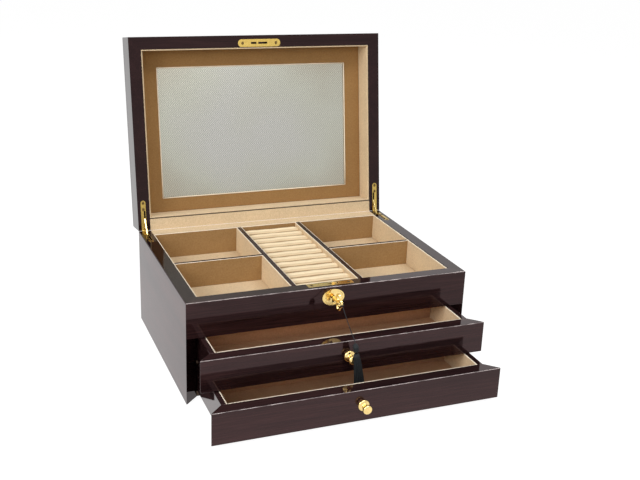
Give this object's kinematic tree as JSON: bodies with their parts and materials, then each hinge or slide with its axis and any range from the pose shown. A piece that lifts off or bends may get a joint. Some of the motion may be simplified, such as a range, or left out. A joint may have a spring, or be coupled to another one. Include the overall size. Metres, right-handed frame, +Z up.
{
  "type": "jewellery box with drawers",
  "caption": "Lacquered jewellery box with hinged mirrored lid, suede-lined tray with ring rolls, stacked full-width drawers, lock and tasselled key.",
  "frame": {"origin": "on the table under the middle of the box", "axes": "+X to the right as seen from the front, +Y to the back, +Z up; shown with the lid open and both drawers part way out"},
  "size_m": [0.3, 0.3769, 0.3198],
  "materials": {
    "lacquered_wood": "gloss lacquer over dark figured veneer",
    "board": "plain fibreboard",
    "felt": "felt",
    "suede": "suede",
    "brass": "polished",
    "mirror_glass": "silvered",
    "thread": "spun thread"
  },
  "bodies": {
    "carcass": {"side_wall_left": "lacquered_wood", "side_wall_right": "lacquered_wood", "front_fascia": "lacquered_wood", "back_wall": "lacquered_wood", "bottom_board": "board", "base_felt": "felt", "dust_board": "board", "tray_floor": "board", "tray_wall_lining": "suede", "tray_floor_pads": "suede", "long_divider_left": "lacquered_wood", "long_divider_right": "lacquered_wood", "cross_divider_left": "lacquered_wood", "cross_divider_right": "lacquered_wood", "divider_linings": "suede", "ring_rolls": "suede", "back_rim_suede": "suede", "hinge_leaf_body_left": "brass", "hinge_leaf_body_right": "brass", "hinge_pins": "brass", "hinge_screws_body": "brass", "lock_case": "brass", "lock_screws": "brass", "escutcheon": "brass", "escutcheon_pins": "brass"},
    "key": {"key": "brass", "cord_loop": "thread"},
    "hook_bolt": {"hook_bolt": "brass"},
    "lid": {"lid_front_rail": "lacquered_wood", "lid_back_rail": "lacquered_wood", "lid_side_left": "lacquered_wood", "lid_side_right": "lacquered_wood", "lid_top": "lacquered_wood", "lid_wall_lining": "suede", "lid_panel": "suede", "mirror": "mirror_glass", "lid_rim_suede": "suede", "strike_plate": "brass", "strike_screws": "brass", "hinge_leaf_lid_left": "brass", "hinge_leaf_lid_right": "brass", "hinge_screws_lid": "brass"},
    "stay_arms": {"stay_arms": "brass"},
    "upper_drawer": {"upper_drawer_front": "lacquered_wood", "upper_drawer_sides": "lacquered_wood", "upper_drawer_back": "lacquered_wood", "upper_drawer_bottom": "board", "upper_drawer_lining": "suede", "upper_drawer_knob": "brass", "tassel_cord": "thread", "tassel_head": "thread", "tassel_skirt": "thread"},
    "lower_drawer": {"lower_drawer_front": "lacquered_wood", "lower_drawer_sides": "lacquered_wood", "lower_drawer_back": "lacquered_wood", "lower_drawer_bottom": "board", "lower_drawer_lining": "suede", "lower_drawer_knob": "brass"}
  },
  "joints": [
    {"name": "lid_hinge", "type": "hinge", "parent": "carcass", "child": "lid", "pos_m": [0, 0.1075, 0.1072], "axis": [1, 0, 0], "range_deg": [0, 98.5]},
    {"name": "stay_swing", "type": "hinge", "parent": "lid", "child": "stay_arms", "pos_m": [0, 0.11081, 0.11985], "axis": [1, 0, 0], "range_deg": [-138.2, 0]},
    {"name": "upper_drawer_slide", "type": "slide", "parent": "carcass", "child": "upper_drawer", "axis": [0, -1, 0], "range_m": [-0.047, 0.099], "deforming": ["tassel_cord"]},
    {"name": "lower_drawer_slide", "type": "slide", "parent": "carcass", "child": "lower_drawer", "axis": [0, -1, 0], "range_m": [-0.085, 0.061], "deforming": ["tassel_skirt"]},
    {"name": "key_turn", "type": "hinge", "parent": "carcass", "child": "key", "pos_m": [0, -0.1075, 0.0961], "axis": [0, -1, 0], "range_deg": [0, 90]},
    {"name": "hook_swing", "type": "hinge", "parent": "carcass", "child": "hook_bolt", "pos_m": [-0.0044, -0.0988, 0.0956], "axis": [0, -1, 0], "range_deg": [0, 25]}
  ],
  "couplings": [
    {"joint": "stay_swing", "follows": "lid_hinge", "ratio": -1.3999},
    {"joint": "hook_swing", "follows": "key_turn", "ratio": 0.27777}
  ]
}
